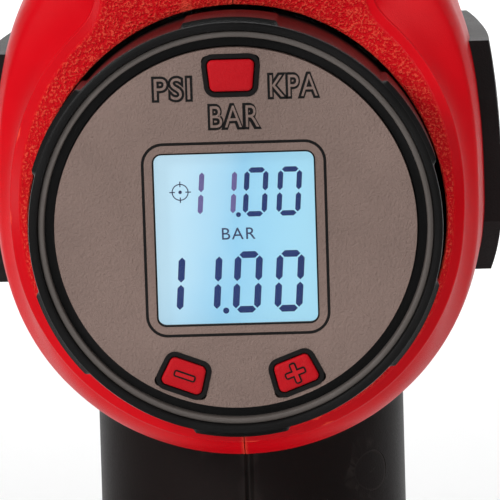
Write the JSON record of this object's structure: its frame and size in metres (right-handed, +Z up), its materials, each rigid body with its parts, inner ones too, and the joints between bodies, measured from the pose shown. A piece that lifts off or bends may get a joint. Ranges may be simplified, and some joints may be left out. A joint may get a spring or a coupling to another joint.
{
  "type": "tyre_inflator",
  "caption": "Cordless pistol-type tyre inflator with a round digital gauge facing the user, red barrel, black grip and slide-in battery",
  "frame": {"origin": "centre of the bounding box in plan, on the underside of the battery foot", "axes": "X to the user's right seen from behind, Y forwards from the gauge to the hose port, Z up"},
  "size_m": [0.0771, 0.158, 0.205],
  "materials": {
    "red_shell": "moulded red nylon, satin with a light sheen, fine spark texture on the rear band",
    "bumper_rubber": "soft overmoulded rubber, fine matte grain",
    "screw_steel": "black-oxide steel screw",
    "handle_plastic": "moulded black-brown plastic, satin",
    "ring_plastic": "black plastic, glossy side wall and grained front",
    "face_plastic": "warm grey plastic with a fine leather grain",
    "window_clear": "clear flat lens",
    "display_blue": "lit liquid-crystal panel, pale cyan with dark blue segments",
    "board_green": "circuit board",
    "switch_black": "moulded switch body",
    "button_red": "grained red button",
    "inner_black": "plain black moulding",
    "cast_zinc": "die-cast zinc alloy, sand-matt",
    "motor_steel": "drawn and plated steel can",
    "magnet_grey": "ferrite magnet",
    "lamination_steel": "stacked steel laminations",
    "copper_bar": "copper commutator bars",
    "shaft_steel": "ground steel",
    "brass_bright": "turned brass",
    "gear_nylon": "natural nylon",
    "cast_alloy": "machined aluminium casting",
    "seal_rubber": "black rubber",
    "tube_silicone": "milky silicone tube",
    "trigger_red": "moulded red plastic, satin",
    "cell_wrap": "shrink-wrapped cell",
    "latch_plastic": "black plastic, satin"
  },
  "bodies": {
    "housing": {"housing_right": "red_shell", "housing_left": "red_shell", "bumper_right": "bumper_rubber", "bumper_left": "bumper_rubber", "housing_screws": "screw_steel", "handle_right": "handle_plastic", "handle_left": "handle_plastic", "handle_screws": "screw_steel", "bezel_ring": "ring_plastic", "bezel_trim": "face_plastic", "face_plate": "face_plastic", "lcd_window": "window_clear", "lcd_panel": "display_blue", "backlight": "display_blue", "display_board": "board_green", "board_screws": "screw_steel", "tact_switches": "switch_black", "gauge_cup": "inner_black", "pressure_sensor": "switch_black", "pump_frame": "cast_zinc", "motor_can": "motor_steel", "motor_end_cap": "inner_black", "motor_magnets": "magnet_grey", "motor_screws": "screw_steel", "crank_bushing": "brass_bright", "cylinder": "cast_alloy", "head_gasket": "seal_rubber", "cylinder_head": "cast_alloy", "head_screws": "screw_steel", "outlet_tube": "seal_rubber", "outlet_fitting": "brass_bright", "nose_collar": "ring_plastic", "sensor_tube": "tube_silicone", "lamp_lens": "window_clear", "lamp_board": "board_green", "trigger_switch": "switch_black", "terminal_block": "inner_black", "terminal_blades": "brass_bright"},
    "rotor": {"armature": "lamination_steel", "commutator": "copper_bar", "motor_shaft": "shaft_steel", "pinion": "brass_bright"},
    "crank": {"crank_gear": "gear_nylon", "crank_shaft": "shaft_steel"},
    "piston_group": {"connecting_rod": "cast_alloy", "crank_pin": "shaft_steel", "piston": "cast_alloy", "piston_seal": "seal_rubber", "wrist_pin": "shaft_steel"},
    "trigger_body": {"trigger": "trigger_red"},
    "unit_key": {"unit_button": "button_red"},
    "minus_key": {"minus_button": "button_red"},
    "plus_key": {"plus_button": "button_red"},
    "battery": {"battery_case": "inner_black", "battery_foot": "handle_plastic", "battery_cells": "cell_wrap", "battery_contacts": "brass_bright", "battery_board": "board_green"},
    "latch_right_body": {"latch_right": "latch_plastic"},
    "latch_left_body": {"latch_left": "latch_plastic"}
  },
  "joints": [
    {"name": "motor_spin", "type": "hinge", "parent": "housing", "child": "rotor", "pos_m": [0, -0.036, 0.14], "axis": [0, 0, 1], "continuous": true},
    {"name": "crank_spin", "type": "hinge", "parent": "housing", "child": "crank", "pos_m": [0, -0.0104, 0.1628], "axis": [0, 0, 1], "continuous": true},
    {"name": "piston_stroke", "type": "slide", "parent": "housing", "child": "piston_group", "axis": [0, 1, 0], "range_m": [0, 0.014]},
    {"name": "trigger_pull", "type": "slide", "parent": "housing", "child": "trigger_body", "axis": [0, -1, 0], "range_m": [0, 0.005], "stiffness_N_per_m": 300},
    {"name": "unit_press", "type": "slide", "parent": "housing", "child": "unit_key", "axis": [0, 1, 0], "range_m": [0, 0.0006], "stiffness_N_per_m": 500},
    {"name": "minus_press", "type": "slide", "parent": "housing", "child": "minus_key", "axis": [0, 1, 0], "range_m": [0, 0.0006], "stiffness_N_per_m": 500},
    {"name": "plus_press", "type": "slide", "parent": "housing", "child": "plus_key", "axis": [0, 1, 0], "range_m": [0, 0.0006], "stiffness_N_per_m": 500},
    {"name": "battery_slide", "type": "slide", "parent": "housing", "child": "battery", "axis": [0, -0.1045, -0.9945], "range_m": [0, 0.06]},
    {"name": "latch_right_press", "type": "slide", "parent": "battery", "child": "latch_right_body", "axis": [-1, 0, 0], "range_m": [0, 0.002], "stiffness_N_per_m": 500},
    {"name": "latch_left_press", "type": "slide", "parent": "battery", "child": "latch_left_body", "axis": [1, 0, 0], "range_m": [0, 0.002], "stiffness_N_per_m": 500}
  ],
  "couplings": [
    {"joint": "crank_spin", "follows": "motor_spin", "ratio": -0.23077}
  ]
}
